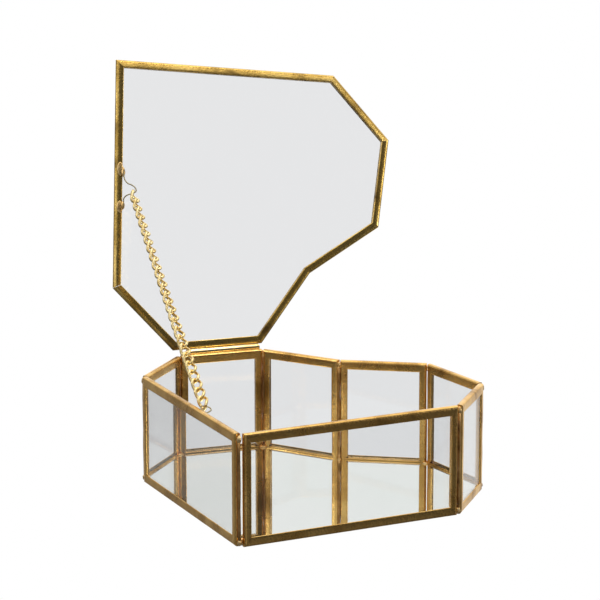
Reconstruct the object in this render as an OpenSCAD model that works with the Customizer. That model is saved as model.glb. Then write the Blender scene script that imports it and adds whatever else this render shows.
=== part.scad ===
// A heart-shaped glass box: eight framed panes, a mirror floor, a clear
// lid on a three-knuckle hinge, and a curb chain that holds the lid open.
// The point of the heart is at -Y and the hinge is on the far left side.
// The origin is under the middle of the box, and the lid is drawn open.

/* [Outline] */
// Width across the two widest corners
heart_w = 151.6; // [148:0.1:156]
// Distance from the point to the widest corners
wide_y = 76.3; // [74:0.1:79]
// Width across the two shoulder corners
shoulder_w = 149.6; // [146:0.1:154]
// Distance from the point to the shoulder corners
shoulder_y = 117; // [114:0.1:119]
// Distance between the tops of the two lobes
lobe_w = 82.4; // [80:0.1:85]
// Depth from the point to the tops of the lobes
heart_d = 143.6; // [141:0.1:146]
// Distance from the point to the cleft
cleft_y = 136; // [134:0.1:138]
// Height of the box to the top of its frames
box_h = 50; // [46:0.5:56]

/* [Frames and panes] */
// Thickness of a frame, through the pane
came_t = 3; // [2.8:0.1:3.2]
// Width of a frame's face
came_face = 4.2; // [3.8:0.1:4.6]
// Thickness of the sheet brass
came_wall = 0.5; // [0.4:0.05:0.55]
// Outside radius of the folds
came_r = 0.6; // [0.3:0.05:0.7]
// Play between a pane and the sheet on each side
pane_play = 0.05; // [0.02:0.01:0.1]
// Gap between mitred ends
mitre_gap = 0.04; // [0.02:0.01:0.1]
// Thickness of the mirror floor
mirror_t = 2.4; // [2:0.1:3]

/* [Lid] */
// Gap between the closed lid and the box
lid_gap = 0.4; // [0.3:0.05:0.8]
// How far the lid stands over the walls
lid_over = 0.5; // [0.3:0.05:0.8]
// Angle the lid is drawn open
lid_open = 108; // [100:1:110]

/* [Hinge] */
// Outside radius of the knuckle tube
tube_r = 1.6; // [1.5:0.05:1.7]
// Radius of the pin
pin_r = 1.0; // [0.8:0.05:1.1]
// Play between the pin and the bore
pin_play = 0.06; // [0.03:0.01:0.1]
// Distance of the hinge line outside the wall
hinge_out = 2.0; // [1.9:0.05:2.3]
// Height of the hinge line over the top of the box
hinge_up = 0.2; // [0.1:0.05:0.3]
// Length of the knuckle near the side
knuckle_a = 9.3; // [8.5:0.1:9.5]
// Length of the lid's knuckle
knuckle_lid = 13.3; // [12:0.1:13.4]
// Length of the knuckle near the lobe
knuckle_b = 12.1; // [11:0.1:12.3]

/* [Chain] */
// Diameter of a link's wire
link_wire = 1.0; // [0.8:0.05:1.05]
// Half width of a link, to the middle of its wire
link_half_w = 1.9; // [1.8:0.05:2]
// Half height of a link's twist
link_twist = 0.95; // [0.85:0.05:1]
// How far the taut chain sags
chain_sag = 1.6; // [0.5:0.1:2]
// Diameter of the wires that the chain hangs from
eye_wire = 0.6; // [0.5:0.05:0.65]

/* [Hidden] */
brass = [0.80, 0.64, 0.33];
gold = [0.88, 0.74, 0.45];
clear = [0.86, 0.88, 0.90, 0.35];

// ---- the outline, counter-clockwise from the point of the heart
half_d = heart_d / 2;
V = [
  [0, -half_d],
  [heart_w / 2, wide_y - half_d],
  [shoulder_w / 2, shoulder_y - half_d],
  [lobe_w / 2, half_d],
  [0, cleft_y - half_d],
  [-lobe_w / 2, half_d],
  [-shoulder_w / 2, shoulder_y - half_d],
  [-heart_w / 2, wide_y - half_d]
];
CLEFT = 4;
HINGE = 5;
function unit(v) = v / norm(v);
function run(i) = unit(V[(i + 1) % 8] - V[i % 8]);
function side(i) = norm(V[(i + 1) % 8] - V[i % 8]);
function out(i) = [run(i).y, -run(i).x];
// corner i when the side before it moves out by p and the side after it by q
function corner(i, p, q) =
  let (a = out(i + 7), b = out(i), det = a.x * b.y - a.y * b.x)
  V[i % 8] + [(p * b.y - q * a.y) / det, (a.x * q - b.x * p) / det];
// the whole outline moved out by m, and by h on the hinge side
function ring(m, h) = [
  for (i = [0:7]) corner(i, i == (HINGE + 1) % 8 ? h : m, i == HINGE ? h : m)
];

// ---- where the square-ended side panes start and stop along their sides
function inset(i) = i % 8 == CLEFT ? 0 : abs((corner(i, -came_t, -came_t) - V[i % 8]) * run(i));
function pane_from(i) = inset(i) + mitre_gap;
function pane_to(i) = side(i) - inset(i + 1) - mitre_gap;
function heading(i) = atan2(run(i).y, run(i).x);

// ---- the hinge line
lid_side = hinge_out - tube_r - 0.1;
hinge_z = box_h + hinge_up;
hinge_at = V[HINGE] + out(HINGE) * hinge_out;
knuckle_gap = 0.25;
knuckle_end = 37.1;
cut_b = knuckle_end - knuckle_a;
cut_a = cut_b - knuckle_gap - knuckle_lid - knuckle_gap;
// turn point p by angle a about the hinge line
hinge_dir = [run(HINGE).x, run(HINGE).y, 0];
hinge_pt = [hinge_at.x, hinge_at.y, hinge_z];
function about(v, k, a) = v * cos(a) + cross(k, v) * sin(a) + k * (k * v) * (1 - cos(a));
function opened(p) = hinge_pt + about(p - hinge_pt, hinge_dir, lid_open);

// ---- the left front wall, where the chain is fixed: u along it, w inward
wall_u = -run(7);
wall_w = -out(7);
box_from = corner(0, -came_t, -came_t);
lid_from = corner(0, lid_over, lid_over);
function xyz(p, z) = [p.x, p.y, z];
function on_wall(q) = xyz(box_from + wall_u * q[0] + wall_w * q[1], q[2]);
function on_lid(q) =
  opened(xyz(lid_from + wall_u * q[0] + wall_w * q[1], box_h + lid_gap - q[2]));

// ---- the chain's curve, from the lid's loop to the box's eye
eye_hook = [50, 5, 48.5];
loop_hook = [63.8, 8, 3];
chain_a = on_lid(loop_hook);
chain_b = on_wall(eye_hook);
function hang(t) = chain_a + (chain_b - chain_a) * t - [0, 0, 4 * chain_sag * t * (1 - t)];
steps = 400;
lengths = [
  for (i = 0, s = 0; i <= steps; s = s + norm(hang((i + 1) / steps) - hang(i / steps)), i = i + 1)
    [s, i / steps]
];
chain_len = lengths[steps][0];
function at_len(s) = hang(lookup(s, lengths));
links = 25;
link_play = 0.15;
pitch = (chain_len + eye_wire + link_play) / links;
link_half_l = (pitch + link_wire + link_play) / 2;
first = (chain_len - (links - 1) * pitch) / 2;
function centre_len(i) = first + pitch * (i - 1);
function link_dir(i) = unit(at_len(centre_len(i) + 1) - at_len(centre_len(i) - 1));
// level across the chain, and the link's own width and thickness directions
across = unit(cross(link_dir(1), [0, 0, 1]));
function roll(i) = 131.8 + (222 - 131.8) * (i - 1) / (links - 1);
function link_y(i) =
  let (t = link_dir(i), a = unit(across - t * (t * across)))
  a * cos(roll(i)) + cross(t, a) * sin(roll(i));

// ---- tubes swept along points: rings of m corners, closed or with flat ends
function tube_faces(n, m, closed) = concat(
  [
    for (i = [0:(closed ? n - 1 : n - 2)], j = [0:m - 1], k = [0, 1])
      let (a = i * m + j, b = i * m + (j + 1) % m,
           c = ((i + 1) % n) * m + j, d = ((i + 1) % n) * m + (j + 1) % m)
      k == 0 ? [a, d, b] : [a, c, d]
  ],
  closed ? [] : [[for (j = [0:m - 1]) j], [for (j = [m - 1:-1:0]) (n - 1) * m + j]]
);
function swing(v, t) = unit(v - t * (t * v));
module sweep(path, r, first_up) {
  n = len(path);
  m = 8;
  dir = [for (i = [0:n - 1]) unit(path[min(i + 1, n - 1)] - path[max(i - 1, 0)])];
  up = [for (i = 0, u = swing(first_up, dir[0]); i < n;
             u = swing(u, dir[min(i + 1, n - 1)]), i = i + 1) u];
  rings = [
    for (i = [0:n - 1], j = [0:m - 1])
      path[i] + r * (up[i] * cos(j * 360 / m) + cross(dir[i], up[i]) * sin(j * 360 / m))
  ];
  polyhedron(rings, tube_faces(n, m, false));
}
// smooth points through p, with k steps between each pair
function spline(p, k) = [
  for (i = [0:len(p) - 2], j = [0:(i == len(p) - 2 ? k : k - 1)])
    let (t = j / k, a = p[max(i - 1, 0)], b = p[i], c = p[i + 1], d = p[min(i + 2, len(p) - 1)])
    0.5 * (2 * b + (c - a) * t + (2 * a - 5 * b + 4 * c - d) * t * t
      + (3 * b - a - 3 * c + d) * t * t * t)
];

// ---- sheet brass folded round a pane's edge: x across the face, y through the pane
module channel_section() {
  difference() {
    union() {
      translate([came_r, 0]) square([came_face - came_r, came_t]);
      translate([0, came_r]) square([came_face, came_t - 2 * came_r]);
      translate([came_r, came_r]) circle(came_r, $fn = 32);
      translate([came_r, came_t - came_r]) circle(came_r, $fn = 32);
    }
    translate([came_wall, came_wall]) square([came_face, came_t - 2 * came_wall]);
  }
}
// one length of channel along X, its face towards +Y and its thickness along +Z
module channel(l) {
  rotate([90, 0, 90]) linear_extrude(l) channel_section();
}
// a length with both ends mitred at 45 degrees
module mitred(l) {
  w = came_face + 1;
  g = mitre_gap;
  intersection() {
    translate([-1, 0, 0]) channel(l + 2);
    translate([0, 0, -1]) linear_extrude(came_t + 2)
      polygon([[g - 1, -1], [l + 1 - g, -1], [l - w - g, w], [w + g, w]]);
  }
}
// a rectangular frame, lying flat
module flat_frame(l, h) {
  mitred(l);
  translate([l, 0, 0]) rotate([0, 0, 90]) mitred(h);
  translate([l, h, 0]) rotate([0, 0, 180]) mitred(l);
  translate([0, h, 0]) rotate([0, 0, 270]) mitred(h);
}
// stands a flat piece up on side i, outer face on the outline
module on_side(i) {
  translate([V[i].x, V[i].y, 0]) rotate([0, 0, heading(i)])
    translate([pane_from(i), 0, 0]) rotate([90, 0, 0]) translate([0, 0, -came_t]) children();
}
module side_frame(i) {
  color(brass) on_side(i) flat_frame(pane_to(i) - pane_from(i), box_h);
}
module side_glass(i) {
  e = came_wall + 0.4;
  t = came_t - 2 * came_wall - 2 * pane_play;
  color(clear) on_side(i) translate([e, e, came_wall + pane_play])
    cube([pane_to(i) - pane_from(i) - 2 * e, box_h - 2 * e, t]);
}
module base_mirror() {
  color([0.83, 0.86, 0.84]) linear_extrude(mirror_t) polygon(ring(-came_t - 0.1, -came_t - 0.1));
}

// ---- solder at the upright corners: it fills the notch between two frames
function end_corner(i, d, s) =
  V[i % 8] + (s < 0 ? -run(i + 7) : run(i)) * (inset(i) + mitre_gap)
  - out(s < 0 ? i + 7 : i) * d;
module corner_tack(i, z, h) {
  d = i == CLEFT ? came_t - 0.5 : 0.5;
  inner = i == CLEFT ? 0.4 : came_t - 0.4;
  a = end_corner(i, d, -1);
  b = end_corner(i, d, 1);
  c = end_corner(i, inner, -1);
  e = end_corner(i, inner, 1);
  tip = V[i] * 0.35 + (a + b) / 2 * 0.65;
  translate([0, 0, z]) linear_extrude(h)
    polygon(i == CLEFT ? [c, a, b, e] : [a, tip, b, e, c]);
}
module corner_solder() {
  color(gold) for (i = [0:7]) {
    corner_tack(i, 0.6, 3);
    corner_tack(i, box_h - 4, 3.4);
  }
}
// small fillets that hold the mirror in the corners of the frames
module floor_solder() {
  leg = 2.2;
  color(gold) for (i = [0:7]) if (i != CLEFT) {
    p = corner(i, -came_t, -came_t) + unit(-run(i + 7) + run(i)) * 0.06;
    a = p - run(i + 7) * leg;
    b = p + run(i) * leg;
    translate([0, 0, mirror_t]) linear_extrude(0.8) polygon([p, b, a]);
  }
}

// ---- hinge: local Z runs along the hinge line from the lobe, X is down, Y inward
module on_hinge(s) {
  translate(hinge_pt) rotate([0, 90, heading(HINGE)]) translate([0, 0, s]) children();
}
module knuckle(s, l) {
  on_hinge(s) difference() {
    cylinder(r = tube_r, h = l, $fn = 48);
    translate([0, 0, -1]) cylinder(r = pin_r + pin_play, h = l + 2, $fn = 48);
  }
}
module box_knuckles() {
  color(gold) {
    knuckle(cut_a - knuckle_b, knuckle_b);
    knuckle(cut_b, knuckle_a);
  }
}
module hinge_pin() {
  color(gold) on_hinge(cut_a - knuckle_b - 0.4)
    cylinder(r = pin_r, h = knuckle_end - cut_a + knuckle_b + 0.8, $fn = 48);
}
module seam(s, l, face, top, foot, tip) {
  on_hinge(s + 0.4) difference() {
    linear_extrude(l - 0.8) polygon([[top, face], [foot, face], tip, [top, 0.9]]);
    translate([0, 0, -1]) cylinder(r = tube_r, h = l + 2, $fn = 48);
  }
}
module hinge_seam_box() {
  color(brass) {
    seam(cut_a - knuckle_b, knuckle_b, hinge_out, 0.35, 2.6, [1.45, 0.7]);
    seam(cut_b, knuckle_a, hinge_out, 0.35, 2.6, [1.45, 0.7]);
  }
}

// ---- lid, drawn closed and then turned open
module open_lid() {
  translate(hinge_pt) rotate(a = lid_open, v = hinge_dir) translate(-hinge_pt) children();
}
module lid_frame() {
  o = ring(lid_over, lid_side);
  far = ring(lid_over + 1, lid_side + 1);
  near = ring(lid_over - came_face - 0.5, lid_side - came_face - 0.5);
  color(brass) open_lid() translate([0, 0, box_h + lid_gap])
    for (i = [0:7]) {
      k = (i + 1) % 8;
      g = run(i) * mitre_gap;
      intersection() {
        translate([o[i].x, o[i].y, 0]) rotate([0, 0, heading(i)])
          translate([-6, 0, 0]) channel(norm(o[k] - o[i]) + 12);
        translate([0, 0, -1]) linear_extrude(came_t + 2)
          polygon([far[i] + g, far[k] - g, near[k] - g, near[i] + g]);
      }
    }
}
module lid_glass() {
  e = came_wall + 0.4;
  t = came_t - 2 * came_wall - 2 * pane_play;
  color(clear) open_lid() translate([0, 0, box_h + lid_gap + came_wall + pane_play])
    linear_extrude(t) polygon(ring(lid_over - e, lid_side - e));
}
module lid_knuckle() {
  color(gold) open_lid() knuckle(cut_b - knuckle_gap - knuckle_lid, knuckle_lid);
}
module hinge_seam_lid() {
  color(brass) open_lid()
    seam(cut_b - knuckle_gap - knuckle_lid, knuckle_lid, hinge_out - lid_side, -0.35, -2.5,
      [-1.5, 0.6]);
}

// ---- wires: a hairpin eye on the wall and a loop under the lid's rail
eye_path = [
  [38.4, 0.32, 49], [40, 0.32, 49], [41.4, 0.32, 49], [43, 0.5, 49.1], [46, 1.4, 49.3],
  [48.9, 3, 49],
  eye_hook,
  [49.3, 7, 47.8], [47.5, 6.9, 47.1], [46.3, 4.8, 46.6], [46, 2.4, 46.4], [46, 1.2, 46.4],
  [46, 0.02, 46.4]
];
loop_path = [
  [52.4, 4.15, 0.42], [54.8, 4.15, 0.42], [57.2, 4.6, 0.7], [58.9, 5.9, 1.4], [59.8, 7.7, 2.3],
  [61, 9, 2.9], [62.6, 9.5, 3],
  loop_hook,
  [64.3, 6.2, 2.5], [65, 4.9, 1.5], [66.2, 4.2, 0.6], [68, 4.15, 0.42], [70.2, 4.15, 0.42]
];
module box_chain_eye() {
  color(brass) sweep([for (q = spline(eye_path, 4)) on_wall(q)], eye_wire / 2, [0, 0, 1]);
}
module lid_chain_loop() {
  color(brass) sweep([for (q = spline(loop_path, 4)) on_lid(q)], eye_wire / 2,
    about([0, 0, 1], hinge_dir, lid_open));
}
// a low dome of solder on the wall, with a hole for the wire along the wall or into it
module dome(z, r, high, hole, turn) {
  difference() {
    intersection() {
      translate([0, high - r, z]) sphere(r, $fn = 32);
      translate([-5, 0, z - 5]) cube([10, 5, 10]);
    }
    translate(hole) rotate([0, 90, turn]) translate([0, 0, -5])
      cylinder(r = eye_wire / 2 + 0.05, h = 10, $fn = 32);
  }
}
// local X along the wall from u, Y inward, Z up
module at_wall(from, u) {
  p = from + wall_u * u;
  translate([p.x, p.y, 0]) rotate([0, 0, heading(7) + 180]) mirror([0, 1, 0]) children();
}
module eye_solder() {
  color(gold) {
    at_wall(box_from, 39.6) dome(48.3, 1.6, 0.9, [0, 0.32, 49], 0);
    at_wall(box_from, 46) dome(46.4, 1.6, 0.7, [0, 0, 46.4], 90);
  }
}
module loop_solder() {
  color(gold) open_lid() for (u = [53.2, 69.6])
    at_wall(lid_from, u) translate([0, 3.75, box_h + lid_gap])
      difference() {
        translate([-1.5, 0, -0.85]) cube([3, 1.1, 0.85]);
        translate([-5, 0.4, -0.42]) rotate([0, 90, 0])
          cylinder(r = eye_wire / 2 + 0.03, h = 10, $fn = 32);
      }
}

// ---- a curb link: an oval ring of wire with a twist, open only where it must clear the eye
module chain_link(i) {
  c = at_len(centre_len(i));
  x = link_dir(i);
  y = link_y(i);
  z = cross(x, y);
  n = 24;
  m = 8;
  open = i == links;
  count = open ? 13 : n;
  function path(t) = [link_half_l * cos(t), link_half_w * sin(t), link_twist * sin(2 * t)];
  function slope(t) =
    unit([-link_half_l * sin(t), link_half_w * cos(t), 2 * link_twist * cos(2 * t)]);
  rings = [
    for (k = [0:count - 1])
      let (t = open ? 90 + k * 15 : k * 15, s = slope(t), u = swing([cos(t), sin(t), 0], s))
      for (j = [0:m - 1])
        let (p = path(t) + link_wire / 2 * (u * cos(j * 45) + cross(s, u) * sin(j * 45)))
        c + x * p.x + y * p.y + z * p.z
  ];
  color(gold) polyhedron(rings, tube_faces(count, m, !open));
}

base_mirror();
side_glass(0);  // glass_front_right
side_glass(1);  // glass_side_right
side_glass(2);  // glass_shoulder_right
side_glass(3);  // glass_lobe_right
side_glass(4);  // glass_lobe_left
side_glass(5);  // glass_hinge_side
side_glass(6);  // glass_side_left
side_glass(7);  // glass_front_left
side_frame(0);  // frame_front_right
side_frame(1);  // frame_side_right
side_frame(2);  // frame_shoulder_right
side_frame(3);  // frame_lobe_right
side_frame(4);  // frame_lobe_left
side_frame(5);  // frame_hinge_side
side_frame(6);  // frame_side_left
side_frame(7);  // frame_front_left
corner_solder();
floor_solder();
box_knuckles();
hinge_pin();
hinge_seam_box();
lid_glass();
lid_frame();
lid_knuckle();
hinge_seam_lid();
box_chain_eye();
eye_solder();
lid_chain_loop();
loop_solder();
chain_link(1);  // chain_link_01
chain_link(2);  // chain_link_02
chain_link(3);  // chain_link_03
chain_link(4);  // chain_link_04
chain_link(5);  // chain_link_05
chain_link(6);  // chain_link_06
chain_link(7);  // chain_link_07
chain_link(8);  // chain_link_08
chain_link(9);  // chain_link_09
chain_link(10);  // chain_link_10
chain_link(11);  // chain_link_11
chain_link(12);  // chain_link_12
chain_link(13);  // chain_link_13
chain_link(14);  // chain_link_14
chain_link(15);  // chain_link_15
chain_link(16);  // chain_link_16
chain_link(17);  // chain_link_17
chain_link(18);  // chain_link_18
chain_link(19);  // chain_link_19
chain_link(20);  // chain_link_20
chain_link(21);  // chain_link_21
chain_link(22);  // chain_link_22
chain_link(23);  // chain_link_23
chain_link(24);  // chain_link_24
chain_link(25);  // chain_link_25
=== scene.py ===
# %% [markdown]
# A heart-shaped glass jewelry box. Every pane is held in a folded brass
# frame, the floor is a mirror, and a curb chain holds the lid open. The
# solid model comes in first as a fixed frame, and everything below is
# either a finish for one of its solids or a finer piece in its place.

# %% Load the solid model
import math

import bmesh
import bpy
from mathutils import Matrix, Vector, noise


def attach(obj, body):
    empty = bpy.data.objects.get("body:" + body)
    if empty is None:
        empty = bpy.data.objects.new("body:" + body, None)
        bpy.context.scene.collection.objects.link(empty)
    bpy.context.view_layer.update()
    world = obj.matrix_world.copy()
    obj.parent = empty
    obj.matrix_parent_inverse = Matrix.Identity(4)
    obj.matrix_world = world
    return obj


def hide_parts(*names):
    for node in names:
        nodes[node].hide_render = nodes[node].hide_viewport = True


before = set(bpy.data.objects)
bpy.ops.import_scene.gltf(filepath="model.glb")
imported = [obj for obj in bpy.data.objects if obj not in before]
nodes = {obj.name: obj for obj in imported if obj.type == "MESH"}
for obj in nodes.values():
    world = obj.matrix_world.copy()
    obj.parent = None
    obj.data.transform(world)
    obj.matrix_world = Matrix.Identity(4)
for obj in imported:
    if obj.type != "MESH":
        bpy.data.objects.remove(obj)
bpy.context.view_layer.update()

scene = bpy.context.scene
MM = 0.001

# %% [markdown]
# The camera comes first, so that every later step can be judged in the
# picture it makes. It is a long lens a good metre away, a little to the
# right and looking down 13 degrees. The room is white above a pale floor.
# Bare brass has almost no colour of its own: it shows what is around it,
# so a few soft lamps and some darker wall give it light and dark to show.

# %% Camera
camera = bpy.data.objects.new("camera", bpy.data.cameras.new("camera"))
scene.collection.objects.link(camera)
scene.camera = camera
camera.data.lens = 162.85
camera.data.sensor_width = 36.0
camera.data.clip_start, camera.data.clip_end = 0.05, 30.0
camera.location = (0.38914, -1.09636, 0.36614)
camera.rotation_euler = (math.radians(90 - 13.2386), 0.0, math.radians(19.4259))
print("camera at", [round(c, 3) for c in camera.location])

# %% [markdown]
# The floor is a wide pale sheet. It is plain white where the camera sees it,
# and the brass doesn't reflect it: a sheet that size would turn every
# upright face of the frames white.

# %% A pale floor
bpy.ops.mesh.primitive_plane_add(size=40, location=(0, 0, -0.0002))
floor = bpy.context.object
floor.name = "floor"
floor.visible_glossy = False
floor.visible_transmission = False
floor_white = bpy.data.materials.new("floor_white")
floor_white.use_nodes = True
tree = floor_white.node_tree
pale = tree.nodes["Principled BSDF"]
pale.inputs["Base Color"].default_value = (0.93, 0.93, 0.93, 1)
pale.inputs["Roughness"].default_value = 0.9
pale.inputs["Specular IOR Level"].default_value = 0.0
sight = tree.nodes.new("ShaderNodeLightPath")
lit = tree.nodes.new("ShaderNodeEmission")
lit.inputs["Strength"].default_value = 1.0
seen = tree.nodes.new("ShaderNodeMath")
seen.operation = "MAXIMUM"
tree.links.new(sight.outputs["Is Camera Ray"], seen.inputs[0])
tree.links.new(sight.outputs["Is Transmission Ray"], seen.inputs[1])
mixed = tree.nodes.new("ShaderNodeMixShader")
tree.links.new(seen.outputs[0], mixed.inputs[0])
tree.links.new(pale.outputs[0], mixed.inputs[1])
tree.links.new(lit.outputs[0], mixed.inputs[2])
tree.links.new(mixed.outputs[0], tree.nodes["Material Output"].inputs["Surface"])
floor.data.materials.append(floor_white)
scene.view_settings.view_transform = "Standard"
scene.view_settings.look = "None"
print("floor laid")

# %% [markdown]
# The room. Looked at directly, and through the glass, it is plain white.
# The brass and the mirror reflect another room: bright behind the box and
# overhead, softer on the left, and mostly dark elsewhere. Each wall is a
# direction and how far it spreads, each shade takes light away round its
# own, and noise breaks them up, which gives folded brass its streaks. All
# of it is placed for the main view, so from other sides the mirror is
# darker than it would be in a white studio.

# %% The room
WALLS = [  # direction, where it starts to show, where it is full, brightness
    ((-0.20, 0.97, 0.10), 0.60, 0.80, 1.15),
    ((-0.93, 0.25, -0.20), 0.84, 0.97, 0.26),
    ((0.10, 0.10, 0.99), 0.60, 0.84, 1.25),
    ((0.0, 0.0, 1.0), 0.05, 0.30, 0.65),
    ((0.42, -0.62, 0.66), 0.93, 0.97, 1.30),
    ((0.99, 0.05, 0.12), 0.93, 0.97, 1.10),
    ((-0.60, -0.75, 0.15), 0.95, 0.99, 1.00),
    ((0.55, -0.80, -0.20), 0.965, 0.99, 0.60),
]
SHADES = [  # direction, where it starts to show, where it is full, how much light is left
    ((0.765, -0.505, 0.40), 0.86, 0.97, 0.07),
    ((0.93, -0.29, -0.23), 0.90, 0.985, 0.60),
    ((0.33, 0.92, -0.23), 0.90, 0.98, 0.70),
]
world = bpy.data.worlds.new("room")
scene.world = world
world.use_nodes = True
room = world.node_tree


def room_node(kind, settings=None, inputs=None):
    made = room.nodes.new(kind)
    for key, value in (settings or {}).items():
        setattr(made, key, value)
    for key, value in (inputs or {}).items():
        if isinstance(value, bpy.types.NodeSocket):
            room.links.new(value, made.inputs[key])
        else:
            made.inputs[key].default_value = value
    return made


way = room_node("ShaderNodeTexCoord").outputs["Generated"]
broken = room_node("ShaderNodeTexNoise", None,
                   {"Vector": way, "Scale": 3.2, "Detail": 3.0, "Roughness": 0.6})
total = room_node("ShaderNodeMapRange", None,
                  {"Value": broken.outputs["Fac"], "From Min": 0.44, "From Max": 0.64,
                   "To Min": 0.03, "To Max": 0.40}).outputs[0]
for direction, start, full, bright in WALLS:
    toward = room_node("ShaderNodeVectorMath", {"operation": "DOT_PRODUCT"}, {0: way, 1: direction})
    wall = room_node("ShaderNodeMapRange", {"interpolation_type": "SMOOTHSTEP"},
                     {"Value": toward.outputs["Value"], "From Min": start, "From Max": full,
                      "To Min": 0.0, "To Max": bright})
    total = room_node("ShaderNodeMath", {"operation": "MAXIMUM"},
                      {0: total, 1: wall.outputs[0]}).outputs[0]
for direction, start, full, left in SHADES:
    toward = room_node("ShaderNodeVectorMath", {"operation": "DOT_PRODUCT"}, {0: way, 1: direction})
    shade = room_node("ShaderNodeMapRange", {"interpolation_type": "SMOOTHSTEP"},
                      {"Value": toward.outputs["Value"], "From Min": start, "From Max": full,
                       "To Min": 1.0, "To Max": left})
    total = room_node("ShaderNodeMath", {"operation": "MULTIPLY"},
                      {0: total, 1: shade.outputs[0]}).outputs[0]
back = room.nodes["Background"]
back.inputs["Color"].default_value = (1.0, 0.99, 0.97, 1)
room.links.new(total, back.inputs["Strength"])
plain = room_node("ShaderNodeBackground", None,
                  {"Color": (1, 1, 1, 1), "Strength": 1.0})
sight = room_node("ShaderNodeLightPath")
unmirrored = room_node("ShaderNodeMath", {"operation": "LESS_THAN"},
                       {0: sight.outputs["Glossy Depth"], 1: 0.5})
through = room_node("ShaderNodeMath", {"operation": "MULTIPLY"},
                    {0: sight.outputs["Is Transmission Ray"], 1: unmirrored.outputs[0]})
direct = room_node("ShaderNodeMath", {"operation": "MAXIMUM"},
                   {0: sight.outputs["Is Camera Ray"], 1: through.outputs[0]})
both = room_node("ShaderNodeMixShader", None,
                 {0: direct.outputs[0], 1: back.outputs[0], 2: plain.outputs[0]})
room.links.new(both.outputs[0], room.nodes["World Output"].inputs["Surface"])
print("walls:", len(WALLS), "shades:", len(SHADES))

# %% [markdown]
# Three soft lamps, all aimed at the middle of the box. They are narrow, so
# that each draws a thin bright line along a fold and not a wide patch.

# %% Three soft lamps
BOX_MIDDLE = Vector((0, 0, 0.08))


def soft_lamp(name, at, size, power):
    lamp = bpy.data.lights.new(name, "AREA")
    lamp.shape, lamp.size, lamp.size_y = "RECTANGLE", size[0], size[1]
    lamp.energy = power
    stand = bpy.data.objects.new(name, lamp)
    scene.collection.objects.link(stand)
    stand.location = at
    stand.rotation_euler = (BOX_MIDDLE - Vector(at)).to_track_quat("-Z", "Y").to_euler()
    return stand


lamps = [
    soft_lamp("lamp_left", (-1.0, -0.9, 0.9), (0.16, 0.7), 1.6),
    soft_lamp("lamp_right", (1.4, 0.15, 0.5), (0.14, 0.8), 1.8),
    soft_lamp("lamp_over", (0.2, 0.2, 1.4), (0.9, 0.2), 2.2),
]
print("lamps:", [lamp.name for lamp in lamps])

# %% [markdown]
# Materials. The frames are thin sheet brass folded by hand over the edge of
# the glass, then plated and rubbed. Up close the colour runs from pale gold
# to brown along each strip, darker near the soldered corners, with fine
# marks along the fold. One function builds all the brass finishes, with
# its colours and its wear set by the caller, so that they stay a family.


# %% Node helpers
def new_material(name):
    material = bpy.data.materials.new(name)
    material.use_nodes = True
    tree = material.node_tree
    return material, tree, tree.nodes["Principled BSDF"]


def node(tree, kind, inputs=None, **settings):
    made = tree.nodes.new(kind)
    for key, value in settings.items():
        setattr(made, key, value)
    for key, value in (inputs or {}).items():
        if isinstance(value, bpy.types.NodeSocket):
            tree.links.new(value, made.inputs[key])
        else:
            made.inputs[key].default_value = value
    return made


def ramp(tree, factor, stops):
    made = node(tree, "ShaderNodeValToRGB", {"Fac": factor})
    band = made.color_ramp
    while len(band.elements) < len(stops):
        band.elements.new(0.5)
    for element, (place, colour) in zip(band.elements, stops):
        element.position = place
        element.color = (*colour, 1)
    return made.outputs["Color"]


# %% Brass
def brass(name, light, middle, dark, rough=0.22, cloud=60.0, marks=0.12, dents=0.15):
    material, tree, look = new_material(name)
    place = node(tree, "ShaderNodeTexCoord").outputs["Object"]
    clouds = node(tree, "ShaderNodeTexNoise", {"Vector": place, "Scale": cloud, "Detail": 5.0,
                                               "Roughness": 0.6, "Distortion": 0.4})
    colour = ramp(tree, clouds.outputs["Fac"],
                  [(0.30, dark), (0.46, middle), (0.66, light)])
    fine = node(tree, "ShaderNodeTexNoise", {"Vector": place, "Scale": 900.0, "Detail": 3.0})
    shine = node(tree, "ShaderNodeMapRange", {"Value": clouds.outputs["Fac"], "From Min": 0.3,
                                              "From Max": 0.7, "To Min": rough + marks,
                                              "To Max": rough})
    waves = node(tree, "ShaderNodeTexNoise", {"Vector": place, "Scale": 160.0, "Detail": 2.0})
    height = node(tree, "ShaderNodeMath", {0: waves.outputs["Fac"], 1: fine.outputs["Fac"]},
                  operation="ADD")
    bump = node(tree, "ShaderNodeBump", {"Height": height.outputs[0], "Strength": dents,
                                         "Distance": 0.0004})
    tree.links.new(colour, look.inputs["Base Color"])
    tree.links.new(shine.outputs["Result"], look.inputs["Roughness"])
    tree.links.new(bump.outputs["Normal"], look.inputs["Normal"])
    look.inputs["Metallic"].default_value = 1.0
    return material


frame_brass = brass("frame_brass", (0.98, 0.64, 0.22), (0.75, 0.445, 0.13), (0.35, 0.19, 0.05),
                    rough=0.16, cloud=55.0, marks=0.16, dents=0.22)
lid_brass = brass("lid_brass", (0.98, 0.69, 0.22), (0.68, 0.44, 0.11), (0.24, 0.145, 0.04),
                  rough=0.17, cloud=55.0, marks=0.16, dents=0.22)
tube_gold = brass("tube_gold", (1.0, 0.84, 0.50), (0.96, 0.75, 0.38), (0.70, 0.48, 0.19),
                  rough=0.14, cloud=60.0)
chain_gold = brass("chain_gold", (1.0, 0.84, 0.47), (0.94, 0.72, 0.33), (0.52, 0.35, 0.11),
                   rough=0.15, cloud=260.0, dents=0.1)
wire_brass = brass("wire_brass", (0.52, 0.45, 0.28), (0.36, 0.30, 0.17), (0.20, 0.16, 0.08),
                   rough=0.3, cloud=200.0)
solder_brass = brass("solder_brass", (1.0, 0.76, 0.40), (0.82, 0.54, 0.22), (0.42, 0.24, 0.08),
                     rough=0.24, cloud=240.0, dents=0.5)
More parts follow.
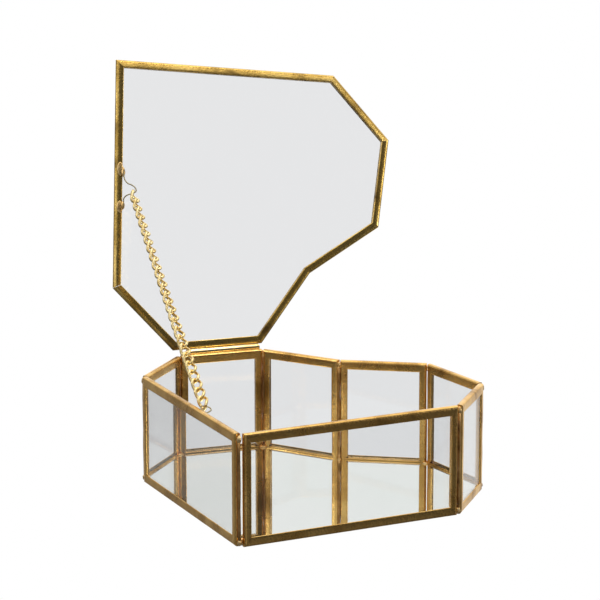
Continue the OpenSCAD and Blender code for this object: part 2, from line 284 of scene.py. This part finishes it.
seam_copper = brass("seam_copper", (0.72, 0.42, 0.17), (0.46, 0.25, 0.09), (0.22, 0.12, 0.045),
                    rough=0.3, cloud=160.0, dents=0.4)
print("brass finishes made")

# %% [markdown]
# The panes are clear float glass. A lamp's ray passes a real pane with
# little loss, but bent rays are slow to trace, so for shadows the glass is
# swapped for a clear sheet with a trace of grey. The panes are all one
# glass, tinted in three greys as painted light and shade: the three front
# panes are clearest, so that the two panes in one line of sight don't add
# up to a dull grey, and the other panes and the lid's pane are tinted
# darker, a painted shade where they look dim.


# %% Glass and mirror
def clear_glass(name, tint, waves):
    material, tree, look = new_material(name)
    look.inputs["Base Color"].default_value = tint
    look.inputs["Transmission Weight"].default_value = 1.0
    look.inputs["IOR"].default_value = 1.5
    place = node(tree, "ShaderNodeTexCoord").outputs["Object"]
    ripple = node(tree, "ShaderNodeTexNoise", {"Vector": place, "Scale": 14.0, "Detail": 1.0})
    bump = node(tree, "ShaderNodeBump", {"Height": ripple.outputs["Fac"], "Strength": waves,
                                         "Distance": 0.001})
    smears = node(tree, "ShaderNodeTexNoise", {"Vector": place, "Scale": 30.0, "Detail": 4.0})
    haze = node(tree, "ShaderNodeMapRange", {"Value": smears.outputs["Fac"], "From Min": 0.5,
                                             "From Max": 0.8, "To Min": 0.0, "To Max": 0.03})
    tree.links.new(haze.outputs["Result"], look.inputs["Roughness"])
    tree.links.new(bump.outputs["Normal"], look.inputs["Normal"])
    path = node(tree, "ShaderNodeLightPath")
    clear = node(tree, "ShaderNodeBsdfTransparent", {"Color": (0.95, 0.96, 0.96, 1)})
    choice = node(tree, "ShaderNodeMixShader", {0: path.outputs["Is Shadow Ray"],
                                                1: look.outputs[0], 2: clear.outputs[0]})
    tree.links.new(choice.outputs[0], tree.nodes["Material Output"].inputs["Surface"])
    return material


# One glass in three tints: the darker wall and lid tints are painted shade.
front_glass = clear_glass("front_glass", (0.95, 0.955, 0.96, 1), 0.02)
wall_glass = clear_glass("wall_glass", (0.80, 0.81, 0.82, 1), 0.02)
lid_glass = clear_glass("lid_glass", (0.85, 0.855, 0.865, 1), 0.01)

mirror, tree, look = new_material("mirror")
look.inputs["Metallic"].default_value = 1.0
look.inputs["Roughness"].default_value = 0.015
place = node(tree, "ShaderNodeTexCoord").outputs["Object"]
cloudy = node(tree, "ShaderNodeTexNoise", {"Vector": place, "Scale": 12.0, "Detail": 3.0})
tree.links.new(ramp(tree, cloudy.outputs["Fac"],
                    [(0.3, (0.945, 0.985, 0.955)), (0.7, (0.975, 1.0, 0.98))]),
               look.inputs["Base Color"])
print("glass and mirror made")

# %% [markdown]
# Every solid gets its finish, also those that a finer piece replaces later,
# so none is left bare if its piece is taken out while working. The hinge's
# round parts are shaded smooth.

# %% Dress the solids
HINGE_TUBES = ["box_knuckles", "lid_knuckle", "hinge_pin"]


def dress(names, material):
    for name in names:
        nodes[name].data.materials.clear()
        nodes[name].data.materials.append(material)


dress([n for n in nodes if n.startswith("frame_")], frame_brass)
dress([n for n in nodes if n.startswith("glass_")], wall_glass)
dress(["glass_front_right", "glass_front_left", "glass_side_right"], front_glass)
dress(["lid_glass"], lid_glass)
dress(["lid_frame"], lid_brass)
dress(["base_mirror"], mirror)
dress(HINGE_TUBES, tube_gold)
dress([n for n in nodes if n.startswith("chain_link_")], chain_gold)
dress(["box_chain_eye", "lid_chain_loop"], wire_brass)
dress(["corner_solder", "floor_solder", "eye_solder", "loop_solder", "hinge_seam_box",
       "hinge_seam_lid"], solder_brass)
for name in HINGE_TUBES:
    for face in nodes[name].data.polygons:
        face.use_smooth = True
print("solids dressed:", len(nodes))

# %% [markdown]
# Links, wires and runs of solder are all a round section carried along a
# line. A curve with a bevel would do it too, but building the rings by hand
# lets the section turn as little as it can, so a twisted link stays smooth,
# and lets a run of solder change its thickness on the way.


# %% Tubes swept along points
def swept(name, points, radius, sides=12, closed=False, radii=None):
    count = len(points)
    shape = bmesh.new()
    rings, up = [], None
    for i, point in enumerate(points):
        before = points[(i - 1) % count] if closed else points[max(i - 1, 0)]
        after = points[(i + 1) % count] if closed else points[min(i + 1, count - 1)]
        along = (after - before).normalized()
        if up is None:
            up = along.orthogonal()
        up = (up - along * up.dot(along)).normalized()
        cross = along.cross(up)
        r = radii[i] if radii else radius
        rings.append([shape.verts.new(point + r * (up * math.cos(a) + cross * math.sin(a)))
                      for a in (2 * math.pi * k / sides for k in range(sides))])
    turn = 0
    if closed:
        first, last = rings[0], rings[-1]
        turn = min(range(sides), key=lambda s: sum(
            (first[(k + s) % sides].co - last[k].co).length for k in range(sides)))
    for i in range(count if closed else count - 1):
        a, b = rings[i], rings[(i + 1) % count]
        s = turn if closed and i == count - 1 else 0
        for k in range(sides):
            shape.faces.new((a[k], a[(k + 1) % sides], b[(k + 1 + s) % sides], b[(k + s) % sides]))
    if not closed:
        shape.faces.new(list(reversed(rings[0])))
        shape.faces.new(rings[-1])
    for face in shape.faces:
        face.smooth = True
    mesh = bpy.data.meshes.new(name)
    shape.to_mesh(mesh)
    shape.free()
    piece = bpy.data.objects.new(name, mesh)
    scene.collection.objects.link(piece)
    return piece


# %% [markdown]
# The outline is a heart of eight straight sides, since glass is cut
# straight. Every frame, bead and wire is placed from it: by its side, or
# for the two wires by how far along and in from the left front wall. What
# belongs to the lid is worked out closed and then turned open.

# %% The box's outline and the left front wall
HEART = [(0, 0), (75.8, 76.3), (74.8, 117), (41.2, 143.6), (0, 136),
         (-41.2, 143.6), (-74.8, 117), (-75.8, 76.3)]
OUTLINE = [Vector((x, y - 71.8)) * MM for x, y in HEART]
CLEFT, HINGE_SIDE = 4, 5


def run(i):
    return (OUTLINE[(i + 1) % 8] - OUTLINE[i % 8]).normalized()


def outward(i):
    return Vector((run(i).y, -run(i).x))


def corner(i, before, after):
    a, b = outward(i + 7), outward(i)
    det = a.x * b.y - a.y * b.x
    return OUTLINE[i % 8] + Vector(((before * b.y - after * a.y) / det,
                                    (a.x * after - b.x * before) / det))


CAME = 3.0 * MM  # how thick a frame is
BOX_TOP, LID_UNDER = 50 * MM, 50.4 * MM
LID_ANGLE = math.radians(108)
wall_along, wall_inward = -run(7), -outward(7)
box_start, lid_start = corner(0, -CAME, -CAME), corner(0, 0.5 * MM, 0.5 * MM)
HINGE_OUT, HINGE_UP = 2.0 * MM, 50.2 * MM
hinge_point = ((OUTLINE[HINGE_SIDE] + outward(HINGE_SIDE) * HINGE_OUT).to_3d()
               + Vector((0, 0, HINGE_UP)))
hinge_line = run(HINGE_SIDE).to_3d()
open_lid = (Matrix.Translation(hinge_point) @ Matrix.Rotation(LID_ANGLE, 4, hinge_line)
            @ Matrix.Translation(-hinge_point))
print("outline corners:", len(OUTLINE), "lid open:", round(math.degrees(LID_ANGLE)), "degrees")


def on_wall(u, w, z):
    flat = box_start + (wall_along * u + wall_inward * w) * MM
    return Vector((flat.x, flat.y, z * MM))


def on_lid(u, w, below):
    flat = lid_start + (wall_along * u + wall_inward * w) * MM
    return open_lid @ Vector((flat.x, flat.y, LID_UNDER - below * MM))


# %% [markdown]
# The frames. The solid model folds its brass with flat faces, which reflect
# one tone from end to end. A real strip is rolled: its face is a little
# crowned, its inner lip turns down to the glass, and the fold is round. So
# each side of a frame is one skin with that section, its ends cut to a
# mitre, and its face wanders by a few hundredths of a millimetre, as sheet
# does when it is pressed over glass by hand.

# %% A strip of folded brass
RAIL, STILE, INNER_LIP, LID_FACE = 4.2, 3.4, 3.1, 3.7
STRIP_STEP = 7       # mm between the cross-sections of a strip
MITRE_GAP = 0.0012   # share of its length that a strip stops short at each end


def half_section(face, thick, crown):
    half = [(face - 0.06, 0.52), (face, 0.40), (face - 0.01, 0.24), (face - 0.07, 0.12),
            (face - 0.20, 0.05), (face - 0.45, 0.015), (face * 0.66, 0.0), (face * 0.45, 0.0),
            (1.05, 0.015), (0.80, 0.05), (0.56, 0.12), (0.36, 0.24), (0.19, 0.42), (0.08, 0.66),
            (0.02, 0.96), (0.0, thick / 2)]
    rise, span, power = crown
    return [(a, min(thick / 2, b + rise * max(0.0, 1 - a / (span * face)) ** power))
            for a, b in half]


def section(outer, inner, thick, crown):
    near, far = half_section(outer, thick, crown), half_section(inner, thick, crown)
    return near + [(a, thick - b) for a, b in reversed(far[:-1])]


def strip(shape, start, end, depth, outer, inner, thick=3.0, wander=0.02, seed=0,
          crown=(0.06, 0.62, 2)):
    """Adds one side: start(a) and end(a) give its mitred ends at a mm in from its edge."""
    profile = section(outer, inner, thick, crown)
    length = (end(0) - start(0)).length / MM
    steps = max(2, round(length / STRIP_STEP))
    rows = []
    for i in range(steps + 1):
        t = MITRE_GAP + (1 - 2 * MITRE_GAP) * i / steps
        row = []
        for a, b in profile:
            place = start(a).lerp(end(a), t) + depth * b * MM
            sway = noise.noise(Vector((place.x * 90 + seed, place.y * 90, place.z * 90)))
            inward = wander * (0.5 + 0.5 * sway)
            b_in = inward if b < thick / 2 - 0.3 else (-inward if b > thick / 2 + 0.3 else 0)
            row.append(shape.verts.new(place + depth * b_in * MM))
        rows.append(row)
    skin = []
    for i in range(steps):
        for k in range(len(profile) - 1):
            skin.append(shape.faces.new((rows[i][k], rows[i][k + 1],
                                         rows[i + 1][k + 1], rows[i + 1][k])))
        skin.append(shape.faces.new((rows[i][-1], rows[i][0], rows[i + 1][0], rows[i + 1][-1])))
    for cell in skin:
        cell.smooth = True
    ends = [shape.faces.new(rows[0]), shape.faces.new(list(reversed(rows[-1])))]
    bmesh.ops.recalc_face_normals(shape, faces=skin + ends)
    for cell in ends:
        for edge in cell.edges:
            edge.smooth = False


def piece_from(shape, name, material, body, *stands_for, slot="frame_brass"):
    mesh = bpy.data.meshes.new(name)
    shape.to_mesh(mesh)
    shape.free()
    piece = bpy.data.objects.new(name, mesh)
    scene.collection.objects.link(piece)
    piece.data.materials.append(material)
    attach(piece, body)
    if stands_for:
        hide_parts(*stands_for)
    return piece


# %% The eight wall frames
PANES = ["front_right", "side_right", "shoulder_right", "lobe_right", "lobe_left",
         "hinge_side", "side_left", "front_left"]


def pane_ends(i):
    length = (OUTLINE[(i + 1) % 8] - OUTLINE[i]).length
    short = [0.0, 0.0]
    for k, c in enumerate((i, (i + 1) % 8)):
        if c != CLEFT:
            short[k] = abs((corner(c, -CAME, -CAME) - OUTLINE[c]).dot(run(i)))
    return short[0] + 0.04 * MM, length - short[1] - 0.04 * MM


def side_point(i, along, up):
    flat = OUTLINE[i] + run(i) * along
    return Vector((flat.x, flat.y, up))


for i, pane in enumerate(PANES):
    low, high = pane_ends(i)
    rim = [(low, 0.0), (high, 0.0), (high, BOX_TOP), (low, BOX_TOP)]
    turns = [(1, 1), (-1, 1), (-1, -1), (1, -1)]
    shape = bmesh.new()
    for k in range(4):
        ends = []
        for c in (k, (k + 1) % 4):
            (x, z), (sx, sz) = rim[c], turns[c]
            if k % 2 == 0:  # a rail, wider than the stiles it meets
                sx *= STILE / RAIL
            else:
                sz *= RAIL / STILE
            ends.append(lambda a, x=x, z=z, sx=sx, sz=sz: side_point(
                i, x + sx * a * MM, z + sz * a * MM))
        outer = STILE if k % 2 else RAIL
        inner = INNER_LIP if k == 0 else outer
        strip(shape, ends[0], ends[1], -outward(i).to_3d(), outer, inner, seed=i * 7 + k)
    piece_from(shape, f"came_{pane}", frame_brass, "box", f"frame_{pane}")
print("wall frames:", len(PANES))

# %% [markdown]
# The lid's frame is made in the same way, lying closed, and turned open with
# the lid. Its strips are a little wider than the uprights. The two at the
# top when the lid stands open have a fuller crown, which catches the light.

# %% The lid's frame
LID_OVER, LID_HINGE = 0.5, 0.3
shape = bmesh.new()
for i in range(8):
    ends = []
    for c in (i, (i + 1) % 8):
        before, after = ((LID_HINGE if k % 8 == HINGE_SIDE else LID_OVER) for k in (c + 7, c))
        ends.append(lambda a, c=c, p=before, q=after: open_lid @ (
            corner(c, (p - a) * MM, (q - a) * MM).to_3d() + Vector((0, 0, LID_UNDER))))
    strip(shape, ends[0], ends[1], open_lid.to_3x3() @ Vector((0, 0, 1)), LID_FACE, LID_FACE,
          seed=90 + i, crown=(0.85, 1.0, 1.15) if i < 2 else (0.26, 0.62, 2))
piece_from(shape, "lid_came", lid_brass, "lid", "lid_frame", slot="lid_brass")
print("lid frame made")

# %% [markdown]
# The chain. Each curb link is an oval ring of wire with a twist, so that it
# lies against the next. The chain hangs in a shallow curve between its two
# hooks, the links are spaced evenly along it, and they roll slowly from one
# end to the other, as the hooks need. The wire is drawn thicker than the
# solids' 1 mm, to look as dense as a real curb chain, so neighbouring rings
# cut into each other slightly.

# %% The links
LINKS, SAG, HOOK_WIRE, PLAY = 25, 1.6 * MM, 0.6 * MM, 0.15 * MM
lid_end, box_end = on_lid(63.8, 8, 3), on_wall(50, 5, 48.5)


def hang(t):
    return lid_end + (box_end - lid_end) * t - Vector((0, 0, 4 * SAG * t * (1 - t)))


lengths = [0.0]
for k in range(400):
    lengths.append(lengths[-1] + (hang((k + 1) / 400) - hang(k / 400)).length)
pitch = (lengths[-1] + HOOK_WIRE + PLAY) / LINKS
start = (lengths[-1] - (LINKS - 1) * pitch) / 2


def at_length(s):
    k = max(0, min(399, sum(1 for x in lengths if x <= s) - 1))
    return hang((k + (s - lengths[k]) / (lengths[k + 1] - lengths[k])) / 400)


half_long = (pitch + 1.15 * MM) / 2
half_wide, twist, wire = 1.9 * MM, 1.0 * MM, 0.68 * MM
FIRST_ROLL, ROLL_ON, ROLL_LATE = 131.8, 90.2, 2.5  # degrees, degrees, power
level = None
links = []
for i in range(1, LINKS + 1):
    spot = start + pitch * (i - 1)
    middle = at_length(spot)
    along = (at_length(spot + MM) - at_length(spot - MM)).normalized()
    level = level or along.cross(Vector((0, 0, 1))).normalized()
    side = (level - along * along.dot(level)).normalized()
    roll = math.radians(FIRST_ROLL + ROLL_ON * ((i - 1) / (LINKS - 1)) ** ROLL_LATE)
    wide = side * math.cos(roll) + along.cross(side) * math.sin(roll)
    thick = along.cross(wide)
    oval = []
    for k in range(48):
        t = 2 * math.pi * k / 48
        oval.append(middle + along * half_long * math.cos(t) + wide * half_wide * math.sin(t)
                    + thick * twist * math.sin(2 * t))
    link = swept(f"link_{i:02d}", oval, wire, sides=14, closed=True)
    link.data.materials.append(chain_gold)
    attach(link, f"link_{i:02d}")
    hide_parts(f"chain_link_{i:02d}")
    links.append(link)
print("links:", len(links), "pitch (mm):", round(pitch / MM, 2))


# %% [markdown]
# Two bent wires hold the chain: an eye inside the left front wall and a loop
# on the lid. Each is a few measured points joined by a smooth curve that
# passes through all of them.

# %% The two wires that the chain hangs from
def smooth_path(points, steps):
    path = []
    for i in range(len(points) - 1):
        a, b = points[max(i - 1, 0)], points[i]
        c, d = points[i + 1], points[min(i + 2, len(points) - 1)]
        for j in range(steps):
            t = j / steps
            path.append(0.5 * (2 * b + (c - a) * t + (2 * a - 5 * b + 4 * c - d) * t ** 2
                               + (3 * b - a - 3 * c + d) * t ** 3))
    path.append(points[-1])
    return path


EYE = [(38.4, 0.32, 49), (40, 0.32, 49), (41.4, 0.32, 49), (43, 0.5, 49.1), (46, 1.4, 49.3),
       (48.9, 3, 49), (50, 5, 48.5), (49.3, 7, 47.8), (47.5, 6.9, 47.1), (46.3, 4.8, 46.6),
       (46, 2.4, 46.4), (46, 1.2, 46.4), (46, 0.02, 46.4)]
LOOP = [(52.4, 4.15, 0.42), (54.8, 4.15, 0.42), (57.2, 4.6, 0.7), (58.9, 5.9, 1.4),
        (59.8, 7.7, 2.3), (61, 9, 2.9), (62.6, 9.5, 3), (63.8, 8, 3), (64.3, 6.2, 2.5),
        (65, 4.9, 1.5), (66.2, 4.2, 0.6), (68, 4.15, 0.42), (70.2, 4.15, 0.42)]
for name, path, body, stood_for in (
    ("eye_wire", [on_wall(*p) for p in EYE], "box", "box_chain_eye"),
    ("loop_wire", [on_lid(*p) for p in LOOP], "lid", "lid_chain_loop"),
):
    bent = swept(name, smooth_path(path, 8), 0.3 * MM, sides=12)
    bent.data.materials.append(wire_brass)
    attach(bent, body)
    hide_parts(stood_for)
print("wires made")

# %% [markdown]
# Solder. Beads of it join the frames at the top and foot of each upright
# corner, hold the mirror in, and fix both wires. Each bead starts as a fine
# ball, is squeezed to the joint it fills, and is then pushed in and out by
# noise, since no two beads freeze alike.

# %% Beads of solder
def bead(name, places, material, body, *stands_for, rough=0.16):
    shape = bmesh.new()
    for n, (centre, axes, sizes) in enumerate(places):
        ball = bmesh.ops.create_icosphere(shape, subdivisions=3, radius=1.0)["verts"]
        for v in ball:
            push = 1 + rough * noise.noise(v.co * 1.7 + Vector((n * 3.1, 0, 0)))
            p = v.co * push
            v.co = centre + sum((axis * (c * size) for axis, c, size in zip(axes, p, sizes)),
                                Vector())
    for face in shape.faces:
        face.smooth = True
    return piece_from(shape, name, material, body, *stands_for, slot="solder")


UP = Vector((0, 0, 1))
corners = []
for i in range(8):
    if i == CLEFT:
        middle = OUTLINE[i] + Vector((0, -2.6 * MM))
    else:
        middle = corner(i, -1.35 * MM, -1.35 * MM)
    across_corner = (outward(i + 7) + outward(i)).normalized()
    along_corner = Vector((-across_corner.y, across_corner.x))
    for z, tall in ((2.1 * MM, 1.5), (47.7 * MM, 1.7)):
        corners.append((Vector((middle.x, middle.y, z)),
                        (across_corner.to_3d(), along_corner.to_3d(), UP),
                        (1.25 * MM, 0.95 * MM, tall * MM)))
bead("corner_beads", corners, solder_brass, "box", "corner_solder")
print("corner beads:", len(corners))

# %% [markdown]
# Between two uprights the solder has run down the joint, stained with
# copper. Each run is a thin rod whose thickness changes on the way down.

# %% Runs of solder down the corners
for i in range(8):
    middle = corners[2 * i][0]
    out_from = (outward(i + 7) + outward(i)).normalized().to_3d()
    shift = out_from * (0.25 * MM if i != CLEFT else 0)
    line = [Vector((middle.x, middle.y, z * MM)) + shift for z in (1.2, 9, 17, 25, 33, 41, 48.8)]
    run_down = swept(f"seam_{i}", line, 0.62 * MM, sides=12,
                     radii=[(0.62 + 0.09 * math.sin(i * 5 + k * 2.3)) * MM for k in range(7)])
    run_down.data.materials.append(seam_copper)
    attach(run_down, "box")

# %% [markdown]
# Flatter beads fix the mirror in its corners, and the feet of both wires.
# On the lid the solder has also spread over the strip in two flat pools,
# thin enough to clear the wall when the lid is shut.

# %% Beads at the mirror and the wires
floors = []
for i in range(8):
    if i == CLEFT:
        continue
    at = corner(i, -CAME, -CAME) + (-run(i + 7) + run(i)).normalized() * 0.75 * MM
    inward = (-run(i + 7) + run(i)).normalized()
    floors.append((Vector((at.x, at.y, 2.5 * MM)),
                   (inward.to_3d(), Vector((-inward.y, inward.x, 0)), UP),
                   (0.95 * MM, 1.7 * MM, 0.8 * MM)))
bead("floor_beads", floors, solder_brass, "box", "floor_solder")

wall_axes = (wall_along.to_3d(), wall_inward.to_3d(), UP)
bead("eye_beads", [(on_wall(39.6, 0.1, 48.5), wall_axes, (1.9 * MM, 0.85 * MM, 1.2 * MM)),
                   (on_wall(46, 0.05, 46.4), wall_axes, (1.5 * MM, 0.7 * MM, 1.5 * MM))],
     solder_brass, "box", "eye_solder")
turned = open_lid.to_3x3()
lid_axes = (turned @ wall_along.to_3d(), turned @ wall_inward.to_3d(), turned @ UP)
bead("loop_beads", [(on_lid(53.6, 3.95, 0.05), lid_axes, (2.3 * MM, 0.9 * MM, 0.65 * MM)),
                    (on_lid(69.2, 3.95, 0.05), lid_axes, (2.0 * MM, 0.9 * MM, 0.65 * MM)),
                    (on_lid(52.0, 2.5, 0.0), lid_axes, (3.4 * MM, 1.55 * MM, 0.34 * MM)),
                    (on_lid(70.0, 2.5, 0.0), lid_axes, (2.9 * MM, 1.55 * MM, 0.34 * MM))],
     solder_brass, "lid", "loop_solder")
print("beads of solder made")
